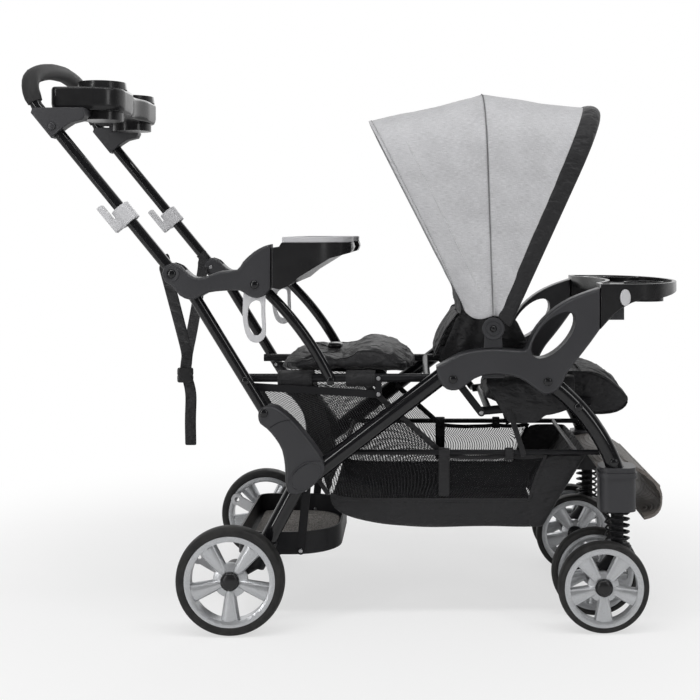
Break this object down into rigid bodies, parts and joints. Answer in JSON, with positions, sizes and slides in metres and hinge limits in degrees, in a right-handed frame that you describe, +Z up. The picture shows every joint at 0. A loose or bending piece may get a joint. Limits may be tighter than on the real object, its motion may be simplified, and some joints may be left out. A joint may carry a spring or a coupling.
{
  "type": "tandem stroller",
  "caption": "Tandem stroller with a canopied front seat, rear bench and standing platform, folding handle with tray, basket, swivel casters and brakes.",
  "frame": {"origin": "on the floor, under the middle of the whole stroller", "axes": "+X the way it rolls, +Y its left side, +Z up"},
  "size_m": [1.265, 0.5652, 1.0742],
  "materials": {
    "tube_paint": "gloss black enamel",
    "arch_plastic": "charcoal moulding",
    "dark_plastic": "black moulding",
    "rest_plastic": "grey-brown moulding",
    "grip_rubber": "matt grip",
    "steel": "black steel",
    "bolt_steel": "satin",
    "black_cloth": "woven nylon",
    "grey_cloth": "heather weave",
    "webbing": "woven webbing",
    "light_plastic": "light grey moulding",
    "foam": "foam",
    "tyre": "matt",
    "rim_plastic": "silver moulding"
  },
  "bodies": {
    "chassis": {"main_tubes": "tube_paint", "front_legs": "tube_paint", "side_arch_right": "arch_plastic", "side_arch_left": "arch_plastic", "rear_knuckles": "arch_plastic", "leg_sockets": "dark_plastic", "footrest": "rest_plastic", "rear_axle": "steel", "axle_brackets": "dark_plastic", "standing_platform": "dark_plastic", "platform_grip": "grip_rubber", "link_bars": "steel", "seat_frame": "steel", "basket": "black_cloth", "rear_seat_pad": "black_cloth", "front_seat_pad": "black_cloth", "rear_backrest": "black_cloth", "canopy_mounts": "dark_plastic", "uprights": "tube_paint", "arms": "arch_plastic", "rear_tray": "dark_plastic", "rear_tray_rim": "light_plastic", "armrest_struts": "tube_paint", "frame_bolts": "bolt_steel", "tether_strap": "webbing", "tether_buckle": "dark_plastic", "canopy_rear_bow": "steel", "canopy_rear_panel": "grey_cloth", "spring_right": "steel", "spring_left": "steel"},
    "handle": {"handle_tube": "tube_paint", "handle_grip": "foam", "parent_tray": "dark_plastic", "handle_brackets": "arch_plastic"},
    "front_tray": {"front_tray": "dark_plastic"},
    "canopy_mid": {"canopy_mid_bow": "steel", "canopy_front_panel": "grey_cloth"},
    "canopy_front": {"canopy_front_bow": "steel"},
    "seat_back": {"seat_back": "black_cloth"},
    "trigger_right": {"trigger_right": "light_plastic"},
    "tray_button_right": {"tray_button_right": "light_plastic"},
    "loop_right": {"loop_right": "light_plastic"},
    "brake_right": {"brake_right": "light_plastic"},
    "strut_right": {"strut_right": "dark_plastic"},
    "caster_right": {"fork_right": "dark_plastic"},
    "front_wheels_right": {"front_rims_right": "rim_plastic", "front_tyres_right": "tyre"},
    "rear_wheel_right": {"rear_rim_right": "rim_plastic", "rear_tyre_right": "tyre"},
    "trigger_left": {"trigger_left": "light_plastic"},
    "tray_button_left": {"tray_button_left": "light_plastic"},
    "loop_left": {"loop_left": "light_plastic"},
    "brake_left": {"brake_left": "light_plastic"},
    "strut_left": {"strut_left": "dark_plastic"},
    "caster_left": {"fork_left": "dark_plastic"},
    "front_wheels_left": {"front_rims_left": "rim_plastic", "front_tyres_left": "tyre"},
    "rear_wheel_left": {"rear_rim_left": "rim_plastic", "rear_tyre_left": "tyre"}
  },
  "joints": [
    {"name": "handle_fold", "type": "hinge", "parent": "chassis", "child": "handle", "pos_m": [-0.3427, 0, 0.6588], "axis": [0, 1, 0], "range_deg": [0, 75]},
    {"name": "tray_slide", "type": "slide", "parent": "chassis", "child": "front_tray", "axis": [1, 0, 0], "range_m": [0, 0.06]},
    {"name": "canopy_mid_fold", "type": "hinge", "parent": "chassis", "child": "canopy_mid", "pos_m": [0.254, 0, 0.556], "axis": [0, -1, 0], "range_deg": [0, 24], "deforming": ["canopy_rear_panel"]},
    {"name": "canopy_front_fold", "type": "hinge", "parent": "canopy_mid", "child": "canopy_front", "pos_m": [0.254, 0, 0.556], "axis": [0, -1, 0], "range_deg": [0, 24], "deforming": ["canopy_front_panel"]},
    {"name": "seat_recline", "type": "hinge", "parent": "chassis", "child": "seat_back", "pos_m": [0.222, 0, 0.488], "axis": [0, -1, 0], "range_deg": [0, 25], "deforming": ["rear_backrest"]},
    {"name": "trigger_right_pull", "type": "slide", "parent": "handle", "child": "trigger_right", "axis": [-0.633, 0, 0.7742], "range_m": [0, 0.02], "stiffness_N_per_m": 300, "springref_m": -0.01},
    {"name": "tray_button_right_press", "type": "slide", "parent": "front_tray", "child": "tray_button_right", "axis": [0, 1, 0], "range_m": [0, 0.003], "stiffness_N_per_m": 300, "springref_m": -0.003},
    {"name": "loop_right_swing", "type": "hinge", "parent": "chassis", "child": "loop_right", "pos_m": [-0.18906, 0, 0.63893], "axis": [0, -1, 0], "range_deg": [-20, 40]},
    {"name": "brake_right_press", "type": "hinge", "parent": "chassis", "child": "brake_right", "pos_m": [-0.229, 0, 0.1], "axis": [0, -1, 0], "range_deg": [0, 18]},
    {"name": "suspension_right", "type": "slide", "parent": "chassis", "child": "strut_right", "axis": [0, 0, 1], "range_m": [0, 0.012], "stiffness_N_per_m": 5000, "springref_m": -0.02, "deforming": ["spring_right"]},
    {"name": "caster_right_swivel", "type": "hinge", "parent": "strut_right", "child": "caster_right", "pos_m": [0.489, -0.198, 0.084], "axis": [0, 0, 1], "continuous": true},
    {"name": "front_wheels_right_spin", "type": "hinge", "parent": "caster_right", "child": "front_wheels_right", "pos_m": [0.455, -0.198, 0.084], "axis": [0, 1, 0], "continuous": true},
    {"name": "rear_wheel_right_spin", "type": "hinge", "parent": "chassis", "child": "rear_wheel_right", "pos_m": [-0.229, -0.264, 0.1], "axis": [0, 1, 0], "continuous": true},
    {"name": "trigger_left_pull", "type": "slide", "parent": "handle", "child": "trigger_left", "axis": [-0.633, 0, 0.7742], "range_m": [0, 0.02], "stiffness_N_per_m": 300, "springref_m": -0.01},
    {"name": "tray_button_left_press", "type": "slide", "parent": "front_tray", "child": "tray_button_left", "axis": [0, -1, 0], "range_m": [0, 0.003], "stiffness_N_per_m": 300, "springref_m": -0.003},
    {"name": "loop_left_swing", "type": "hinge", "parent": "chassis", "child": "loop_left", "pos_m": [-0.18906, 0, 0.63893], "axis": [0, -1, 0], "range_deg": [-20, 40]},
    {"name": "brake_left_press", "type": "hinge", "parent": "chassis", "child": "brake_left", "pos_m": [-0.229, 0, 0.1], "axis": [0, -1, 0], "range_deg": [0, 18]},
    {"name": "suspension_left", "type": "slide", "parent": "chassis", "child": "strut_left", "axis": [0, 0, 1], "range_m": [0, 0.012], "stiffness_N_per_m": 5000, "springref_m": -0.02, "deforming": ["spring_left"]},
    {"name": "caster_left_swivel", "type": "hinge", "parent": "strut_left", "child": "caster_left", "pos_m": [0.489, 0.198, 0.084], "axis": [0, 0, 1], "continuous": true},
    {"name": "front_wheels_left_spin", "type": "hinge", "parent": "caster_left", "child": "front_wheels_left", "pos_m": [0.455, 0.198, 0.084], "axis": [0, 1, 0], "continuous": true},
    {"name": "rear_wheel_left_spin", "type": "hinge", "parent": "chassis", "child": "rear_wheel_left", "pos_m": [-0.229, 0.264, 0.1], "axis": [0, 1, 0], "continuous": true}
  ],
  "couplings": [
    {"joint": "canopy_front_fold", "follows": "canopy_mid_fold", "ratio": 1}
  ]
}
